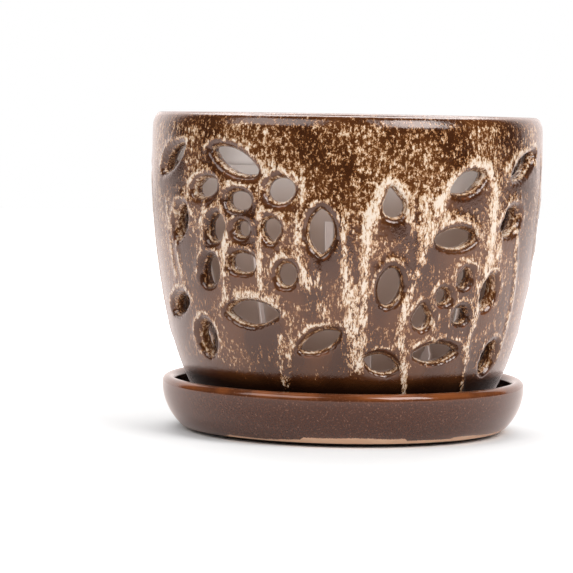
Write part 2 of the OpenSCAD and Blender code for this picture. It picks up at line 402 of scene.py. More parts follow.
# %% Runs of cream glaze
# Each run: half-width in millimetres, strength, and its path as (azimuth, height above the table)
RUNS = [
    (1.9, 1.0, [(-0.5, 93), (-0.3, 80), (0.6, 66), (1.8, 52), (3.4, 35)]),
    (2.0, 1.0, [(6.4, 96), (5.8, 80), (5.8, 66), (5.5, 52), (5.3, 36)]),
    (3.8, 1.15, [(2.4, 62), (2.9, 48), (4.2, 35)]),
    (1.8, 0.9, [(22.3, 102), (22.3, 98), (22, 84), (21.8, 75), (20.4, 66), (18, 58)]),
    (1.5, 0.9, [(18, 58), (17.5, 50), (18.1, 42), (19.6, 34), (22, 20)]),
    (1.6, 0.9, [(26.4, 100), (23.8, 88), (22.8, 76)]),
    (1.8, 1.1, [(26.5, 96), (30, 106), (34, 113.5), (38.6, 116), (43.7, 114), (47, 106)]),
    (2.0, 1.1, [(47, 106), (47.3, 96), (47.3, 83), (46.7, 73), (45.2, 61), (43.7, 51)]),
    (1.3, 0.9, [(43.7, 51), (43.1, 43), (43.9, 34), (47, 21)]),
    (1.3, 0.8, [(24.8, 84), (26.2, 90), (30.7, 93), (35, 94), (39.3, 91), (42.1, 86)]),
    (1.8, 0.9, [(7.4, 90), (8.2, 98), (10.8, 109), (14.3, 106), (17.3, 100), (19, 90)]),
    (1.0, 0.8, [(-19.8, 49), (-20.4, 35), (-20.6, 24)]),
    (1.0, 0.8, [(-16, 50), (-16.8, 39), (-19.4, 24)]),
    (1.8, 0.9, [(-25, 92), (-25, 83), (-25.8, 73), (-25.4, 64)]),
    (2.2, 1.0, [(-34, 59.5), (-28.5, 61.5), (-23.5, 60), (-20.5, 58)]),
    (1.4, 0.8, [(-12.5, 112), (-12.2, 104), (-13.6, 94), (-14, 84), (-13, 75), (-10.6, 69)]),
    (1.8, 0.8, [(-38, 96), (-37.4, 81), (-38.2, 71), (-38, 59)]),
    (1.0, 0.7, [(-60, 96), (-60, 81), (-59, 69), (-57, 58)]),
    (1.0, 0.6, [(-65, 98), (-64.5, 84), (-63, 66)]),
    (1.4, 0.7, [(-21, 115), (-17.7, 112), (-14.8, 107)]),
    (1.6, 0.6, [(-8, 74), (-7, 60), (-5.6, 48)]),
    (1.4, 0.6, [(-44.4, 100), (-46, 84), (-50, 70)]),
    (1.4, 0.8, [(51, 112), (57, 119), (66, 121), (72, 114)]),
    (1.2, 0.7, [(52, 96), (51.5, 84), (50.4, 70), (52, 58)]),
    (1.6, 0.8, [(60, 88), (62, 74), (64, 58), (63, 42)]),
    (1.4, 0.7, [(28, 62), (27.4, 54), (30, 44), (28, 34)]),
    (2.0, 1.5, [(-11.9, 70), (-11.2, 66)]),
]
SIDE_RUNS = [
    (1.3, 0.6, [(79, 118), (80, 104), (78, 90), (79, 74)]),
    (1.5, 0.7, [(98, 92), (99, 84), (97.5, 74)]),
    (1.2, 0.7, [(99.5, 64), (98, 54), (99, 44)]),
    (1.5, 0.7, [(112, 108), (113, 92), (111, 76), (112.5, 62), (110, 40)]),
]
BACK_TURN = 184
SIDE_TURN = 163
# Strength on a run's centre line, as a share of the run's own, from which it falls off evenly
MOST_CREAM = 1.5


def run_strength(azimuth, height, runs, again_at):
    """How much cream these runs, and the same runs turned round the pot, bring to each point."""
    strength = np.zeros(len(azimuth))
    for half_width, amount, path in runs:
        for (az_a, z_a), (az_b, z_b) in zip(path, path[1:]):
            for turn in (0, again_at):
                start = (azimuth - az_a - turn + 180) % 360 - 180
                u = np.radians(start) * POT_R
                v = height - z_a
                along_u = math.radians(az_b - az_a) * POT_R
                along_v = z_b - z_a
                share = (u * along_u + v * along_v) / (along_u**2 + along_v**2)
                share = np.clip(share, 0, 1)
                off = np.hypot(u - share * along_u, v - share * along_v)
                strength = np.maximum(strength, amount * (MOST_CREAM - off / half_width))
    return np.clip(strength, 0, MOST_CREAM)


# %% [markdown]
# Four numbers per vertex drive the glaze: `edge`, the distance from the nearest slot's outline;
# `above`, which is 1 over a slot, 0 beside it and -1 under it; `run`, the runs; and `depth`, how
# far into the slot or the wall the point lies. They all change evenly from point to point, and the
# material makes the thin lines from them, which would be lost between two points of the mesh. The
# direction from the slot is taken from its nearest outline point, and close to the edge, where
# that is unsteady, from the slot's centre.

# %% Give the vertices their glaze
RIM_DEPTH = 7

points = points_of(pot)
radius, azimuth, h = around(points)
edge_distance, edge_spot, slot_centre = nearest_outline(points)
outside = wall_radius(h) - radius

from_edge = points - edge_spot
from_centre = points - slot_centre
steady = ease(edge_distance, 0.6, 1.6)
lift_edge = from_edge[:, 2] / np.maximum(edge_distance, 0.01)
lift_centre = from_centre[:, 2] / np.maximum(np.linalg.norm(from_centre, axis=1), 0.01)
above = steady * lift_edge + (1 - steady) * lift_centre
depth = np.where(h < POT_H - RIM_DEPTH, np.clip(outside, 0, POT_WALL), 0)
run = np.maximum(
    run_strength(azimuth, points[:, 2], RUNS, BACK_TURN),
    run_strength(azimuth, points[:, 2], SIDE_RUNS, SIDE_TURN),
)

for name, values in (("edge", edge_distance), ("above", above), ("run", run), ("depth", depth)):
    set_attribute(pot, name, values)

# %% [markdown]
# The cream lies thickly enough to feel with a finger, nearly half a millimetre, so it is real
# relief and not only colour: the points of the wall move out along their normals by that much.

# %% Raise the cream glaze
CREAM_THICKNESS = 0.45
RING_AT = 2.0
RING_WIDTH = 0.75

ring = np.exp(-(((edge_distance - RING_AT) / RING_WIDTH) ** 2)) * ease(above, -0.6, 0.4)
cream = np.clip(np.maximum(run, 0.8 * ring), 0, 1) * (1 - ease(depth, 0.8, 1.6))
set_points(pot, points + normals_of(pot) * (cream * CREAM_THICKNESS)[:, None])
activate(pot)
bpy.ops.object.shade_smooth()
print("cream on", round(100 * float((cream > 0.5).mean())), "% of the pot")

# %% [markdown]
# ## The pot's glaze
# Iron-brown stoneware glaze with a tin-white glaze broken over it. Where the two mix, the cream
# breaks into specks half a millimetre across, each with a tan rim. Noises of six sizes make the
# pattern: specks, streaks and veins, stretched along the height because the glaze ran down, then
# the wandering and the breaks in the lines of cream, and broad patches.

# %% Patterns in the glaze
# Each pattern: name, size in millimetres, scale along the height, detail, roughness
GLAZE_PATTERNS = [
    ("speck", 1.6, 0.75, 3, 0.85),
    ("streak", 0.95, 0.3, 3, 0.8),
    ("vein", 3.0, 0.3, 3, 0.65),
    ("wander", 4.5, 1, 2, 0.5),
    ("breaks", 7, 1, 2, 0.5),
    ("patch", 17, 0.6, 3, 0.5),
]
# Heights above the table in millimetres between which the specks over the foot fade in
FOOT_BAND_TOP, SPECKS_FROM = 23, 33


def bell(tree, value, centre, width):
    """1 at the centre, falling off on both sides within about this width."""
    off = add(tree, MATH, (value, centre), operation="SUBTRACT")
    scaled = add(tree, MATH, (off, width), operation="DIVIDE")
    square = add(tree, MATH, (scaled, scaled), operation="MULTIPLY")
    falling = add(tree, MATH, (square, -1), operation="MULTIPLY")
    return add(tree, MATH, (falling,), operation="EXPONENT")


def glaze_facts(tree):
    """What the glaze depends on at a point: its height, its four numbers and the patterns."""
    place = add(tree, "ShaderNodeTexCoord").outputs["Object"]
    height = add(tree, "ShaderNodeSeparateXYZ", (place,)).outputs["Z"]
    facts = SimpleNamespace(height=add(tree, MATH, (height, MM), operation="DIVIDE"))
    for name in ("edge", "above", "run", "depth"):
        number = add(tree, "ShaderNodeAttribute", attribute_name=name)
        setattr(facts, name, number.outputs["Fac"])
    for name, size, along, detail, roughness in GLAZE_PATTERNS:
        grid = add(tree, "ShaderNodeMapping", {"Vector": place, "Scale": (1, 1, along)})
        inputs = {"Vector": grid, "Scale": 1 / (size * MM), "Detail": detail}
        setattr(facts, name, add(tree, NOISE, {**inputs, "Roughness": roughness}))
    facts.on_wall = add(tree, RANGE, (facts.depth, 0.7, 1.6, 1, 0), **SMOOTH)
    facts.broken = add(tree, RANGE, (facts.breaks, 0.36, 0.6, 0.3, 1.2), **SMOOTH)
    facts.above_foot = add(tree, RANGE, (facts.height, FOOT_BAND_TOP, SPECKS_FROM), **SMOOTH)
    return facts


# %% [markdown]
# Specks lie thickly under the rim and thinly on the lower wall, and stop at the dark band over the
# foot. The cream that is caught in a ring round a slot, or in a run, is thicker. A ring wanders in
# and out, is thickest above its slot and is broken in places, and the sides of a run are ragged.

# %% Specks, rings and runs
SPECKS_LOW, SPECKS_HIGH = 0.27, 0.45
RING_WANDERS_IN, RING_WANDERS_OUT = 1.8, 2.2
MOST_CAUGHT = 1.2


def specks(tree, facts):
    """How thickly the specks lie."""
    thick = add(tree, RANGE, (facts.height, 60, 100, SPECKS_LOW, SPECKS_HIGH), **SMOOTH)
    patchy = add(tree, RANGE, (facts.patch, 0.38, 0.62, 0.3, 1.35), **SMOOTH)
    below_rim = add(tree, RANGE, (facts.height, 129, 132.5, 1, 0), **SMOOTH)
    for share in (patchy, below_rim, facts.above_foot):
        thick = add(tree, MATH, (thick, share), operation="MULTIPLY")
    return thick


def caught_cream(tree, facts):
    """How much cream is caught round the slots and in the runs."""
    inmost, outmost = RING_AT - RING_WANDERS_IN, RING_AT + RING_WANDERS_OUT
    ring_at = add(tree, MIX, {0: facts.wander, 2: inmost, 3: outmost})
    ring = bell(tree, facts.edge, ring_at, RING_WIDTH)
    catch = add(tree, RANGE, (facts.above, -0.6, 0.5, 0.15, 1), **SMOOTH)
    ring = add(tree, MATH, (ring, catch), operation="MULTIPLY")
    ring = add(tree, MATH, (ring, facts.broken), operation="MULTIPLY")
    ragged = add(tree, MATH, (facts.wander, 2.2, -1.15), operation="MULTIPLY_ADD")
    run = add(tree, MATH, (facts.run, ragged), operation="ADD")
    run = add(tree, MATH, (run, 0), operation="MAXIMUM")
    run = add(tree, MATH, (run, MOST_CAUGHT), operation="MINIMUM")
    held = add(tree, RANGE, (facts.run, 0, 0.2), **SMOOTH)
    run = add(tree, MATH, (run, held), operation="MULTIPLY")
    caught = add(tree, MATH, (ring, run), operation="MAXIMUM")
    return add(tree, MATH, (caught, facts.on_wall), operation="MULTIPLY")


# %% [markdown]
# Under a slot, and all over its sponged edge, the glaze is bare brown. A thin line of cream hangs
# where the edge turns into the slot, and on the slot's lower side the cream has pooled. Further
# in, the glaze is dark.

# %% Round and inside the slots
LIP_LINE = 2.0
LIP_LINE_WIDTH = 0.45


def bare_brown(tree, facts):
    """Where there is no cream: under the slots and on their edges."""
    facts.under = add(tree, RANGE, (facts.above, -0.9, -0.5, 1, 0), **SMOOTH)
    near = add(tree, RANGE, (facts.edge, 2, 11, 1, 0), **SMOOTH)
    shadow = add(tree, MATH, (facts.under, near), operation="MULTIPLY")
    shadow = add(tree, MATH, (shadow, facts.on_wall), operation="MULTIPLY")
    shift = add(tree, MATH, (facts.wander, -3, 1.5), operation="MULTIPLY_ADD")
    lip_edge = add(tree, MATH, (facts.edge, shift), operation="ADD")
    lip = add(tree, RANGE, (lip_edge, 0.5, 1.7, 1, 0), **SMOOTH)
    facts.smooth_lip = add(tree, MATH, (lip, facts.on_wall), operation="MULTIPLY")
    return add(tree, MATH, (shadow, facts.smooth_lip), operation="MAXIMUM")


def cream_in_slots(tree, facts):
    """The cream that hangs at the slots' edges and has pooled on their lower sides."""
    normal = add(tree, "ShaderNodeNewGeometry").outputs["Normal"]
    upwards = add(tree, "ShaderNodeSeparateXYZ", (normal,)).outputs["Z"]
    beyond_edge = add(tree, RANGE, (facts.depth, 1.0, 1.8), **SMOOTH)
    faces_up = add(tree, RANGE, (upwards, 0.3, 0.8), **SMOOTH)
    flecked = add(tree, RANGE, (facts.wander, 0.4, 0.6, 0.35, 1.1), **SMOOTH)
    pooled = add(tree, MATH, (faces_up, beyond_edge), operation="MULTIPLY")
    pooled = add(tree, MATH, (pooled, flecked), operation="MULTIPLY")
    line = bell(tree, facts.depth, LIP_LINE, LIP_LINE_WIDTH)
    line = add(tree, MATH, (line, facts.broken), operation="MULTIPLY")
    hangs = add(tree, RANGE, (upwards, -0.4, 0.5, 0.4, 1), **SMOOTH)
    line = add(tree, MATH, (line, hangs), operation="MULTIPLY")
    faint = add(tree, MATH, (beyond_edge, 0.15), operation="MULTIPLY")
    faint = add(tree, MATH, (line, 0.6, faint), operation="MULTIPLY_ADD")
    return add(tree, MATH, (pooled, 0.34, faint), operation="MULTIPLY_ADD")


# %% [markdown]
# All of this is summed to one number, the amount of cream. Thin brown veins, the middle values of
# a noise, part it where it is thick. Where there is none, bare places and the band over the foot
# pull the number below zero, so that no speck comes through.

# %% The amount of cream
CAUGHT_SHARE = 0.88
VEIN_WIDTH = 0.022
VEIN_DEPTH = -0.95
FOOT_BARE = -0.7
SLOT_BARE = -0.75


def cream_amount(tree, facts):
    """The cream at a point: 0 is none, and 1 covers it."""
    facts.caught = caught_cream(tree, facts)
    cream = add(
        tree, MATH, (facts.caught, CAUGHT_SHARE, specks(tree, facts)), operation="MULTIPLY_ADD"
    )
    veins = bell(tree, facts.vein, 0.5, VEIN_WIDTH)
    thick = add(tree, MATH, (cream, 0.8), operation="MINIMUM")
    veins = add(tree, MATH, (veins, thick), operation="MULTIPLY")
    cream = add(tree, MATH, (veins, VEIN_DEPTH, cream), operation="MULTIPLY_ADD")

    at_foot = add(tree, MATH, (1, facts.above_foot), operation="SUBTRACT")
    free = add(tree, MATH, (1, facts.caught), operation="SUBTRACT")
    free = add(tree, MATH, (free, 0), operation="MAXIMUM")
    plain_foot = add(tree, MATH, (at_foot, free), operation="MULTIPLY")
    cream = add(tree, MATH, (plain_foot, FOOT_BARE, cream), operation="MULTIPLY_ADD")

    cream = add(tree, MATH, (cream, cream_in_slots(tree, facts)), operation="ADD")
    over_bare = add(tree, MATH, (facts.caught, 0.8), operation="MULTIPLY")
    bare = add(tree, MATH, (bare_brown(tree, facts), over_bare), operation="SUBTRACT")
    bare = add(tree, MATH, (bare, 0), operation="MAXIMUM")
    return add(tree, MATH, (bare, SLOT_BARE, cream), operation="MULTIPLY_ADD")


# %% [markdown]
# The cream lifts the grain of specks and streaks up one colour ramp, from dark brown by tan to
# cream, and rust and amber show where the glaze has thinned. The glaze is rich in metal oxides, so
# it reflects a little warmly. Its clear glassy skin is a coat on top of it, and a little sheen
# stands for the fine bubbles in that skin, which turn it pale where it is seen from the side.

# %% Glaze on the pot
GRAIN_CONTRAST = 1.9
CREAM_LIFT = 0.3
TAN_TO_CREAM = [
    (0.62, "#693c1a"),
    (0.67, "#945f35"),
    (0.72, "#b98b62"),
    (0.78, "#dab48e"),
    (0.86, "#edd2b6"),
    (0.94, "#f9e8d6"),
]
GLAZE_RELIEF = 0.15
WARM_SHEEN = (1.0, 0.86, 0.83, 1.0)


def with_stops(ramp, stops):
    """Gives a colour ramp its stops of (position, hex colour)."""
    elements = ramp.color_ramp.elements
    while len(elements) < len(stops):
        elements.new(0.5)
    for element, (position, colour) in zip(elements, stops):
        element.position = position
        element.color = linear(colour)
    return ramp


def glaze_level(tree, facts):
    """How light the glaze is at a point, from its grain and its cream."""
    streaky = add(tree, RANGE, (facts.caught, 0, 1, 0, 0.4), **SMOOTH)
    lower_wall = add(tree, RANGE, (facts.height, 60, 95, 0.6, 0.15), **SMOOTH)
    streaky = add(tree, MATH, (streaky, lower_wall), operation="ADD")
    grain = add(tree, MIX, {0: streaky, 2: facts.speck, 3: facts.streak})
    middle = 0.5 - 0.5 * GRAIN_CONTRAST
    grain = add(tree, MATH, (grain, GRAIN_CONTRAST, middle), operation="MULTIPLY_ADD")
    return add(tree, MATH, (facts.cream, CREAM_LIFT, grain), operation="MULTIPLY_ADD")


def glaze_colour(tree, facts):
    """Brown and cream, with rust under some slots, amber on the rim and a painted reflection on the
    slots' edges.
    """
    patches = add(tree, RANGE, (facts.patch, 0.35, 0.65), **SMOOTH)
    brown = add(tree, MIX, {0: patches, 6: linear("#3e1f0c"), 7: linear("#5e3518")}, **COLOURS)
    off_foot = add(tree, RANGE, (facts.height, 20, 32), **SMOOTH)
    brown = add(tree, MIX, {0: off_foot, 6: linear("#1f0f08"), 7: brown}, **COLOURS)
    # Painted reflection: the slots' sponged edges are mixed half way to a pale mauve brown
    lip_painted_reflection = add(tree, MATH, (facts.smooth_lip, 0.5), operation="MULTIPLY")
    brown = add(tree, MIX, {0: lip_painted_reflection, 6: brown, 7: linear("#583c2f")}, **COLOURS)
    tan = with_stops(add(tree, "ShaderNodeValToRGB", (facts.level,)), TAN_TO_CREAM)
    flecked = add(tree, RANGE, (facts.level, 0.59, 0.65), **SMOOTH)
    colour = add(tree, MIX, {0: flecked, 6: brown, 7: tan}, **COLOURS)

    some = add(tree, RANGE, (facts.wander, 0.46, 0.62), **SMOOTH)
    rust = add(tree, MATH, (bell(tree, facts.edge, 1.0, 0.7), facts.under), operation="MULTIPLY")
    rust = add(tree, MATH, (rust, some), operation="MULTIPLY")
    rust = add(tree, RANGE, (rust, 0.2, 0.9, 0, 0.5), **SMOOTH)
    colour = add(tree, MIX, {0: rust, 6: colour, 7: linear("#7f451f")}, **COLOURS)
    rim_top = POT_FOOT_Z + POT_H
    crest = add(tree, RANGE, (facts.height, rim_top - 1.6, rim_top - 0.4, 0, 0.5), **SMOOTH)
    return add(tree, MIX, {0: crest, 6: colour, 7: linear("#6a3c20")}, **COLOURS)


def pot_glaze():
    material, tree = new_material("brown_and_cream_stoneware_glaze")
    facts = glaze_facts(tree)
    facts.cream = cream_amount(tree, facts)
    facts.level = glaze_level(tree, facts)

    # The bare clay shows only under the foot ring, where the pot stood in the kiln
    off_ring = add(tree, RANGE, (facts.height, POT_FOOT_Z + 0.6, POT_FOOT_Z + 0.9), **SMOOTH)
    colour = glaze_colour(tree, facts)
    colour = add(tree, MIX, {0: off_ring, 6: linear("#c39a78"), 7: colour}, **COLOURS)
    roughness = add(tree, RANGE, (facts.level, 0.6, 0.85, 0.09, 0.25), **SMOOTH)
    roughness = add(tree, MIX, {0: off_ring, 2: 0.85, 3: roughness})
    relief = {"Height": facts.level, "Distance": GLAZE_RELIEF * MM, "Strength": 0.5}
    bump = add(tree, "ShaderNodeBump", relief)
    shader = add(
        tree,
        "ShaderNodeBsdfPrincipled",
        {
            "Base Color": colour,
            "Roughness": roughness,
            "Normal": bump,
            "IOR": 1.65,
            "Specular Tint": (1.0, 0.78, 0.7, 1.0),
            "Coat Weight": 1.0,
            "Coat Roughness": 0.04,
            "Coat IOR": 1.5,
            "Coat Normal": bump,
            "Sheen Weight": 0.8,
            "Sheen Roughness": 0.25,
            "Sheen Tint": WARM_SHEEN,
        },
    )
    add(tree, "ShaderNodeOutputMaterial", (shader,))
    return material


pot.data.materials.append(pot_glaze())
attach(pot, "pot")
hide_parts("pot_base", "pot_shell")

# %% [markdown]
# ## The saucer
# A thrown saucer is a shape of revolution, so it is spun the way it was thrown. Its section starts
# as a plane cut back to one point, which is extruded from point to point along the outline, and
# `spin` turns the finished line round the axis. The foot is bare clay: the glaze was wiped off
# there, and it ends in a thick, uneven edge a few millimetres up. Under the clay's edge the foot
# is bevelled inwards, so a dark line of shadow shows between it and the table, and the bevel's
# clay is painted near-black, a painted shadow that deepens that line.

# %% Saucer sizes
SAUCER_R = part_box("saucer")[1].x / MM
SAUCER_H = 22.5
SAUCER_WALL = 5.4
SAUCER_FLOOR = 6
SAUCER_CURVE_R = 24
SAUCER_RING_W = 11
SAUCER_RECESS = 1.5
FOOT_UNDERCUT = 4
FOOT_BEVEL = 1.7
SPIN_STEPS = 256


def arc(x, z, r, start, end, count):
    """Points on an arc about (x, z), with its angles in degrees from +X towards +Z."""
    angles = np.radians(np.linspace(start, end, count))
    return [(x + r * math.cos(a), z + r * math.sin(a)) for a in angles]


def rounded(outline, sizes):
    """The outline with each corner rounded by its size, as a spun edge needs to catch the light."""
    points = []
    for i, (x, z) in enumerate(outline):
        size = sizes.get(i, 0)
        if size == 0:
            points.append((x, z))
            continue
        corner = np.array((x, z), float)
        before = np.array(outline[i - 1], float) - corner
        after = np.array(outline[(i + 1) % len(outline)], float) - corner
        start = corner + before / np.linalg.norm(before) * size
        end = corner + after / np.linalg.norm(after) * size
        for t in np.linspace(0, 1, 5):
            spot = (1 - t) ** 2 * start + 2 * t * (1 - t) * corner + t**2 * end
            points.append(tuple(spot))
    return points


def spun(name, outline, steps):
    """Extrudes a point along the outline of (radius, height) and spins it round the axis."""
    bpy.ops.object.select_all(action="DESELECT")
    bpy.ops.mesh.primitive_plane_add(size=2 * MM, location=(0, 0, 0))
    piece = bpy.context.object
    piece.name = name
    bpy.ops.object.mode_set(mode="EDIT")
    bpy.ops.mesh.select_all(action="SELECT")
    bpy.ops.mesh.merge(type="CENTER")
    start = (outline[0][0] * MM, 0, outline[0][1] * MM)
    bpy.ops.transform.translate(value=start)
    for (x_a, z_a), (x_b, z_b) in zip(outline, outline[1:]):
        step = ((x_b - x_a) * MM, 0, (z_b - z_a) * MM)
        bpy.ops.mesh.extrude_region_move(TRANSFORM_OT_translate={"value": step})
    bpy.ops.mesh.select_all(action="SELECT")
    bpy.ops.mesh.spin(steps=steps, angle=2 * math.pi, center=(0, 0, 0), axis=(0, 0, 1))
    bpy.ops.mesh.select_all(action="SELECT")
    bpy.ops.mesh.remove_doubles(threshold=0.01 * MM)
    bpy.ops.mesh.normals_make_consistent(inside=False)
    bpy.ops.object.mode_set(mode="OBJECT")
    return piece


# %% Spin the saucer
lip_r = SAUCER_WALL / 2
lip_z = SAUCER_H - lip_r
curve_x = SAUCER_R - SAUCER_CURVE_R
inner_r = SAUCER_CURVE_R - SAUCER_WALL
base_angle = -math.degrees(math.asin(lip_z / SAUCER_CURVE_R))
floor_angle = -math.degrees(math.asin((lip_z - SAUCER_FLOOR) / inner_r))
foot_r = curve_x + SAUCER_CURVE_R * math.cos(math.radians(base_angle))
bevel_angle = -math.degrees(math.asin((lip_z - FOOT_BEVEL) / SAUCER_CURVE_R))
bevel_r = curve_x + SAUCER_CURVE_R * math.cos(math.radians(bevel_angle))
under = bevel_r - foot_r + FOOT_UNDERCUT
saucer_outline = (
    [(0, SAUCER_FLOOR), (20, SAUCER_FLOOR), (40, SAUCER_FLOOR), (52, SAUCER_FLOOR)]
    + arc(curve_x, lip_z, inner_r, floor_angle, 0, 14)
    + arc(SAUCER_R - lip_r, lip_z, lip_r, 168, 12, 13)
    + arc(curve_x, lip_z, SAUCER_CURVE_R, 0, base_angle * 0.75, 16)
    + arc(curve_x, lip_z, SAUCER_CURVE_R, base_angle * 0.77, bevel_angle, 12)
    + [(bevel_r - under * t, FOOT_BEVEL * (1 - t**2)) for t in np.linspace(0.12, 1, 8)]
    + rounded(
        [
            (foot_r - SAUCER_RING_W, 0),
            (foot_r - SAUCER_RING_W, SAUCER_RECESS),
            (0, SAUCER_RECESS),
        ],
        {0: 0.6, 1: 0.6},
    )
)
saucer = spun("glazed_saucer", saucer_outline, SPIN_STEPS)
print("saucer faces", len(saucer.data.polygons))

# %% [markdown]
# The wiped edge climbs and falls round the foot. Its height is a few sine waves and three short
# steps, where the sponge was lifted. The clay below it lies a little further in than the glaze
# above it, by the thickness of the glaze.

# %% Glaze edge on the saucer's foot
GLAZE_EDGE_Z = 3.3
GLAZE_THICKNESS = 0.3

points = points_of(saucer)
radius = np.hypot(points[:, 0], points[:, 1])
azimuth = np.degrees(np.arctan2(points[:, 0], -points[:, 1]))
turn = np.radians(azimuth)
glaze_edge = (
    GLAZE_EDGE_Z
    + 0.35 * np.sin(3 * turn + 0.8)
    + 0.2 * np.sin(7 * turn + 2.1)
    + 0.12 * np.sin(17 * turn)
    + 0.5 * np.sign(np.sin(5 * turn + 1.2)) * (np.abs(azimuth) < 40)
    - 2.2 * ease(-azimuth, 38, 50) * (1 - ease(-azimuth, 95, 120))
)
clay = 1 - ease(points[:, 2], glaze_edge - 0.15, glaze_edge + 0.15)
on_side = (radius > foot_r - 0.3) & (points[:, 2] < 8)
pull_in = GLAZE_THICKNESS * clay * on_side
points[:, :2] *= (1 - pull_in / np.maximum(radius, 1))[:, None]
set_points(saucer, points)
set_attribute(saucer, "glaze_edge", glaze_edge)
activate(saucer)
bpy.ops.object.shade_smooth()

# %% [markdown]
# ## The saucer's glaze
# The same brown glaze without the cream: fine tan specks where iron crystals have grown, and an
# amber lip, because glaze runs off an edge and what is left there is thin enough to let the light
# clay through. The bevel under the foot is painted near-black, as painted shadow under the foot.

# %% Glaze on the saucer
CRYSTAL = 0.75
CLOUD = 14
IRON_CRYSTALS = [(0.38, "#3f2013"), (0.58, "#4f2b1b"), (0.66, "#6f4736"), (0.76, "#9c765f")]
LIP_FROM, LIP_FULL = 18.8, 21.2
CRYSTAL_RELIEF = 0.08


def saucer_glaze():
    material, tree = new_material("brown_stoneware_glaze_over_bare_clay")
    place = add(tree, "ShaderNodeTexCoord").outputs["Object"]
    height = add(tree, "ShaderNodeSeparateXYZ", (place,)).outputs["Z"]
    height = add(tree, MATH, (height, MM), operation="DIVIDE")
    edge = add(tree, "ShaderNodeAttribute", attribute_name="glaze_edge").outputs["Fac"]
    grain = {"Vector": place, "Scale": 1 / (CRYSTAL * MM), "Detail": 3, "Roughness": 0.6}
    crystal = add(tree, NOISE, grain)
    cloud = add(tree, NOISE, {"Vector": place, "Scale": 1 / (CLOUD * MM), "Detail": 3})
    glaze = with_stops(add(tree, "ShaderNodeValToRGB", (crystal,)), IRON_CRYSTALS)

    # The lip is the top few millimetres of the rim, and its amber fades down the wall
    lip = add(tree, RANGE, (height, LIP_FROM, LIP_FULL), **SMOOTH)
    wavy = add(tree, RANGE, (cloud, 0.35, 0.65, 0.3, 1), **SMOOTH)
    amber = add(tree, MATH, (lip, wavy), operation="MULTIPLY")
    glaze = add(tree, MIX, {0: amber, 6: glaze, 7: linear("#8a4d28")}, **COLOURS)

    # The clay shows below the wiped edge, and on the bevel it is painted near-black as painted
    # shadow
    ragged = add(tree, MATH, (crystal, 1.2, height), operation="MULTIPLY_ADD")
    above_edge = add(tree, MATH, (ragged, edge), operation="SUBTRACT")
    covered = add(tree, RANGE, (above_edge, 0.5, 0.7), **SMOOTH)
    off_bevel = add(tree, RANGE, (height, FOOT_BEVEL - 0.1, FOOT_BEVEL), **SMOOTH)
    covered = add(tree, MATH, (covered, off_bevel), operation="MULTIPLY")
    clay = add(tree, MIX, {0: cloud, 6: linear("#e2ae8a"), 7: linear("#f8d0ae")}, **COLOURS)
    # Painted shadow: below the top of the bevel the clay turns near-black
    above_painted_shadow = add(tree, RANGE, (height, FOOT_BEVEL - 0.4, FOOT_BEVEL), **SMOOTH)
    clay = add(tree, MIX, {0: above_painted_shadow, 6: linear("#1c130e"), 7: clay}, **COLOURS)
    colour = add(tree, MIX, {0: covered, 6: clay, 7: glaze}, **COLOURS)
    roughness = add(tree, MIX, {0: covered, 2: 0.8, 3: 0.07})
    relief = {"Height": crystal, "Distance": CRYSTAL_RELIEF * MM, "Strength": 0.5}
    shader = add(
        tree,
        "ShaderNodeBsdfPrincipled",
        {
            "Base Color": colour,
            "Roughness": roughness,
            "Normal": add(tree, "ShaderNodeBump", relief),
            "IOR": 1.5,
            "Specular Tint": (1.0, 0.76, 0.7, 1.0),
            "Coat Weight": 0.9,
            "Coat Roughness": 0.03,
            "Coat IOR": 1.5,
        },
    )
    add(tree, "ShaderNodeOutputMaterial", (shader,))
    return material


saucer.data.materials.append(saucer_glaze())
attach(saucer, "saucer")
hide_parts("saucer")

# %% [markdown]
# ## The growing liner
# A moulded polypropylene liner: a tapered tub with a stacking step under its rim band, long slots
# round its wall and pointed windows near its floor, so that air reaches the roots. It is spun like
# the saucer, with the small radii that a mould has, and the openings are cut with one Boolean
# modifier, whose cutter holds every opening at once.

# %% Liner sizes
LINER_TOP_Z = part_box("liner")[1].z / MM
LINER_FOOT_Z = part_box("liner")[0].z / MM
LINER_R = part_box("liner")[1].x / MM
LINER_WALL = 1.4
LINER_FLOOR = 1.6
LINER_LIP_OUT = 2.4
LINER_LIP_T = 1.6
LINER_BAND_H = 12
LINER_STEP_IN = 1.6
LINER_BASE_GAP = 4
LINER_FOOT_H = 2
LINER_FOOT_W = 4
LINER_SLOTS = 12
LINER_SLOT_W = 3.2
LINER_SLOT_L = 44
LINER_SLOT_Z = LINER_FOOT_Z + 34
LINER_SLOT_TURN = -6
WINDOW_W = 6
WINDOW_H = 17
WINDOW_Z = LINER_FOOT_Z + 6
LINER_HOLES = 8
LINER_HOLE_R = 3.5
LINER_HOLE_RING_R = 30
LINER_SPIN_STEPS = 180
# How far each corner of the section is rounded, by its place in the outline
LINER_ROUNDS = dict(enumerate([0.4, 0.4, 0.6, 0.4, 0.5, 0.3, 0.5, 0.5, 0.6, 0.4, 0.5, 1.2], 1))

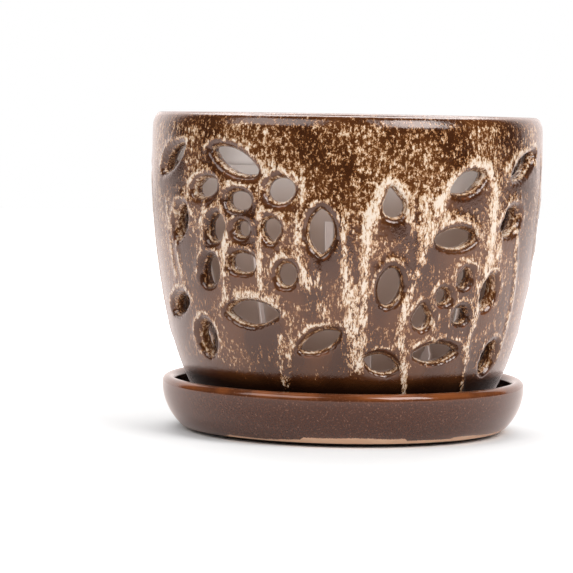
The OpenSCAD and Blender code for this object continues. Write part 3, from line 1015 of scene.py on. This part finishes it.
# %% Spin the liner
band_r = LINER_R - LINER_LIP_OUT
neck_r = band_r - LINER_STEP_IN
base_r = float(wall_radius(np.array(float(POT_FLOOR_H)), POT_WALL)) - LINER_BASE_GAP
floor_z = LINER_FOOT_Z + LINER_FOOT_H
step_z = LINER_TOP_Z - LINER_BAND_H
liner_outline = rounded(
    [
        (0, floor_z),
        (base_r - LINER_FOOT_W, floor_z),
        (base_r - LINER_FOOT_W, LINER_FOOT_Z),
        (base_r, LINER_FOOT_Z),
        (neck_r, step_z),
        (band_r, step_z),
        (band_r, LINER_TOP_Z - LINER_LIP_T),
        (LINER_R, LINER_TOP_Z - LINER_LIP_T),
        (LINER_R, LINER_TOP_Z),
        (band_r - LINER_WALL, LINER_TOP_Z),
        (band_r - LINER_WALL, step_z + LINER_WALL),
        (neck_r - LINER_WALL, step_z + LINER_WALL),
        (base_r - LINER_WALL, floor_z + LINER_FLOOR),
        (0, floor_z + LINER_FLOOR),
    ],
    LINER_ROUNDS,
)
liner = spun("growing_liner", liner_outline, LINER_SPIN_STEPS)


# %% Cut the liner's openings
WINDOW_SHOULDER = 0.55
WINDOW_TIP = 0.31
CUT_DEPTH = 30


def cut_bar(azimuth, reach, low_z, width, height, pointed):
    """A bar that runs outwards through the liner's wall, with a point on top for a window."""
    bpy.ops.object.select_all(action="DESELECT")
    bpy.ops.mesh.primitive_cube_add(size=1)
    bar = bpy.context.object
    bar.scale = (width * MM, CUT_DEPTH * MM, height * MM)
    bar.location = (0, -reach * MM, (low_z + height / 2) * MM)
    bpy.ops.object.transform_apply(location=True, rotation=True, scale=True)
    if pointed:
        bpy.ops.object.mode_set(mode="EDIT")
        bpy.ops.mesh.select_all(action="DESELECT")
        mesh = bmesh.from_edit_mesh(bar.data)
        for face in mesh.faces:
            face.select_set(face.normal.z > 0.9)
        for rise, narrower in ((WINDOW_SHOULDER, 0.5), (WINDOW_TIP, 0.02)):
            step = (0, 0, width * rise * MM)
            bpy.ops.mesh.extrude_region_move(TRANSFORM_OT_translate={"value": step})
            bpy.ops.transform.resize(value=(narrower, 1, 1), center_override=(0, 0, 0))
        bpy.ops.object.mode_set(mode="OBJECT")
    bar.rotation_euler = (0, 0, math.radians(azimuth))
    bpy.ops.object.transform_apply(location=True, rotation=True, scale=True)
    return bar


cutters = []
for i in range(LINER_SLOTS):
    pitch = 360 / LINER_SLOTS
    turn = LINER_SLOT_TURN + i * pitch
    cutters.append(cut_bar(turn, neck_r - 5, LINER_SLOT_Z, LINER_SLOT_W, LINER_SLOT_L, False))
    cutters.append(cut_bar(turn + pitch / 2, base_r, WINDOW_Z, WINDOW_W, WINDOW_H, True))
for i in range(LINER_HOLES + 1):
    ring_r = LINER_HOLE_RING_R if i < LINER_HOLES else 0
    turn = math.radians(i * 360 / LINER_HOLES)
    bpy.ops.mesh.primitive_cylinder_add(
        vertices=40,
        radius=LINER_HOLE_R * MM,
        depth=20 * MM,
        location=(ring_r * math.cos(turn) * MM, ring_r * math.sin(turn) * MM, floor_z * MM),
    )
    bpy.ops.object.transform_apply(location=True, rotation=True, scale=True)
    cutters.append(bpy.context.object)
activate(cutters[0])
for cutter in cutters:
    cutter.select_set(True)
bpy.ops.object.join()
cutter = bpy.context.object
apply_modifier(liner, "BOOLEAN", operation="DIFFERENCE", solver="EXACT", object=cutter)
bpy.data.objects.remove(cutter)
activate(liner)
bpy.ops.object.shade_smooth_by_angle(angle=math.radians(35))
print("liner faces", len(liner.data.polygons))

# %% [markdown]
# Frosted polypropylene lets light in and scatters it, so the wall glows with the light that falls
# in from above. Its colour is painted lighter near the top and darker lower down, as painted light
# and shade for that glow. The fine frosting of the mould is bump on a rough surface.

# %% Frosted plastic
FROST = 0.5
MOTTLE = 25
SCATTER = 7
# Heights of the painted light and shade: darkest below the first, lightest above the last
SHADED_TO, HALF_SHADED_FROM = 25, 85
HALF_SHADED_TO, LIT_FROM = 85, 118


def frosted_plastic():
    material, tree = new_material("frosted_polypropylene")
    place = add(tree, "ShaderNodeTexCoord").outputs["Object"]
    frost = add(tree, NOISE, {"Vector": place, "Scale": 1 / (FROST * MM)})
    mottle = add(tree, NOISE, {"Vector": place, "Scale": 1 / (MOTTLE * MM)})
    height = add(tree, "ShaderNodeSeparateXYZ", (place,)).outputs["Z"]
    height = add(tree, MATH, (height, MM), operation="DIVIDE")
    # Painted light and shade: a dark tone low down, a middle one and a light one near the top
    tones = []
    for darker, lighter in (("#ae9e97", "#bbaba4"), ("#b9aaa3", "#c6b7b0"), ("#f0e2de", "#fbefeb")):
        ends = {0: mottle, 6: linear(darker), 7: linear(lighter)}
        tones.append(add(tree, MIX, ends, **COLOURS))
    painted_dark_low, painted_half_dark, painted_light_top = tones
    up = add(tree, RANGE, (height, SHADED_TO, HALF_SHADED_FROM), **SMOOTH)
    colour = add(tree, MIX, {0: up, 6: painted_dark_low, 7: painted_half_dark}, **COLOURS)
    up = add(tree, RANGE, (height, HALF_SHADED_TO, LIT_FROM), **SMOOTH)
    colour = add(tree, MIX, {0: up, 6: colour, 7: painted_light_top}, **COLOURS)
    roughness = add(tree, RANGE, (frost, 0.3, 0.7, 0.4, 0.55), **SMOOTH)
    relief = {"Height": frost, "Distance": 0.03 * MM, "Strength": 0.4}
    shader = add(
        tree,
        "ShaderNodeBsdfPrincipled",
        {
            "Base Color": colour,
            "Roughness": roughness,
            "Normal": add(tree, "ShaderNodeBump", relief),
            "IOR": 1.49,
            "Subsurface Weight": 1.0,
            "Subsurface Radius": (1.0, 0.95, 0.9),
            "Subsurface Scale": SCATTER * MM,
        },
    )
    add(tree, "ShaderNodeOutputMaterial", (shader,))
    return material


liner.data.materials.append(frosted_plastic())
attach(liner, "liner")
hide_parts("liner")

# %% [markdown]
# ## Floor and light
# The photograph is a studio shot on a white table. To the camera the table is just white round the
# pot and brighter further out, so it shows pure white, with a dark shadow only where the saucer
# meets it. The glaze of the lower wall carries its pale, warm reflection. The table ends a little
# in front of the pot, so the upper wall reflects a dark room and looks much darker.

# %% Table
TABLE_FRONT = 430 * MM
TABLE_BACK = 2200 * MM
TABLE_HALF_WIDTH = 2200 * MM
# How white the table is: in its light on the pot, in reflections, and to the camera near and far
TABLE_WHITE = 0.73
TABLE_MIRRORED = 0.78
TABLE_SEEN = 0.98
TABLE_SEEN_FAR = 3
WHITE_TO = 180 * MM
BRIGHT_FROM = 500 * MM
WHITE = (1.0, 1.0, 1.0, 1.0)
WARM = (1.0, 0.87, 0.83, 1.0)


def table_paint():
    """White cloth. To the camera it is just white round the pot, and brighter further out."""
    material, tree = new_material("white_table")
    path = add(tree, "ShaderNodeLightPath")
    place = add(tree, "ShaderNodeTexCoord").outputs["Object"]
    away = add(tree, "ShaderNodeVectorMath", (place,), operation="LENGTH")
    rays = (path.outputs["Is Glossy Ray"], path.outputs["Is Transmission Ray"])
    mirrored = add(tree, MATH, rays, operation="MAXIMUM")
    seen = add(tree, RANGE, (away, WHITE_TO, BRIGHT_FROM, TABLE_SEEN, TABLE_SEEN_FAR), **SMOOTH)
    gain = add(tree, MIX, {0: mirrored, 2: TABLE_WHITE, 3: TABLE_MIRRORED})
    gain = add(tree, MIX, {0: path.outputs["Is Camera Ray"], 2: gain, 3: seen})
    tint = add(tree, MIX, {0: mirrored, 6: WHITE, 7: WARM}, **COLOURS)
    tone = add(tree, "ShaderNodeVectorMath", {0: tint, "Scale": gain}, operation="SCALE")
    shader = add(tree, "ShaderNodeBsdfDiffuse", {"Color": tone})
    add(tree, "ShaderNodeOutputMaterial", (shader,))
    return material


bpy.ops.object.select_all(action="DESELECT")
bpy.ops.mesh.primitive_plane_add(size=1)
table = bpy.context.object
table.name = "table"
table.scale = (2 * TABLE_HALF_WIDTH, TABLE_FRONT + TABLE_BACK, 1)
table.location = (0, (TABLE_BACK - TABLE_FRONT) / 2, 0)
bpy.ops.object.transform_apply(location=True, rotation=True, scale=True)
table.data.materials.append(table_paint())


# %% [markdown]
# Three softboxes light the pot from above: two in front, left and right, whose reflections make
# the pale bands under the rim, and one behind for the inside and the rim.

# %% Softboxes
SOFTBOX_DISTANCE = 1.3


def softbox(name, azimuth, elevation, width, height, power):
    """A lamp with a cloth front that faces the pot. Azimuth 0 is the camera's side."""
    lamp = bpy.data.objects.new(name, bpy.data.lights.new(name, "AREA"))
    bpy.context.collection.objects.link(lamp)
    lamp.data.shape = "RECTANGLE"
    lamp.data.size = width
    lamp.data.size_y = height
    lamp.data.energy = power
    lamp.matrix_world = (
        Matrix.Rotation(math.radians(azimuth), 4, "Z")
        @ Matrix.Rotation(math.radians(-elevation), 4, "X")
        @ Matrix.Translation((0, -SOFTBOX_DISTANCE, 0))
        @ Matrix.Rotation(math.radians(90), 4, "X")
    )
    lamp.visible_camera = False


softbox("softbox_left", -48, 43, width=1.0, height=0.7, power=4.6)
softbox("softbox_right", 45, 42, width=0.65, height=0.8, power=9)
softbox("softbox_back", 180, 60, width=1.2, height=0.8, power=10)

# %% [markdown]
# The room is white behind the pot and dark in front of it, and its white starts sharply, which
# gives the pot and the saucer the narrow bright edges of the photograph.

# %% Room
ROOM_LIGHT = 0.5
ROOM_DARK = 0.03
# How far behind the pot a reflection has to point, from 0 to 1, to see the white
WHITE_FROM, WHITE_FULL = 0.52, 0.66
CEILING_FROM, CEILING_FULL, CEILING = 0.5, 0.9, 0.35


def room():
    """White to the camera, soft grey as light, and in reflections white only behind the pot."""
    world = bpy.data.worlds.new("studio")
    bpy.context.scene.world = world
    world.use_nodes = True
    tree = world.node_tree
    tree.nodes.clear()
    path = add(tree, "ShaderNodeLightPath")
    direction = add(tree, "ShaderNodeTexCoord").outputs["Generated"]
    parts = add(tree, "ShaderNodeSeparateXYZ", {0: direction})
    backwards = (parts.outputs["Y"], WHITE_FROM, WHITE_FULL, ROOM_DARK, 1)
    behind = add(tree, RANGE, backwards, **SMOOTH)
    upwards = (parts.outputs["Z"], CEILING_FROM, CEILING_FULL, 1, CEILING)
    ceiling = add(tree, RANGE, upwards, **SMOOTH)
    mirrored = add(tree, MATH, (behind, ceiling), operation="MULTIPLY")
    glossy = add(tree, MIX, {0: path.outputs["Is Glossy Ray"], 2: ROOM_LIGHT, 3: mirrored})
    strength = add(tree, MIX, {0: path.outputs["Is Camera Ray"], 2: glossy, 3: 1.0})
    tint = add(tree, MIX, {0: path.outputs["Is Glossy Ray"], 6: WHITE, 7: WARM}, **COLOURS)
    shader = add(tree, "ShaderNodeBackground", {"Color": tint, "Strength": strength})
    add(tree, "ShaderNodeOutputWorld", (shader,))
    world.cycles.sampling_method = "NONE"


room()
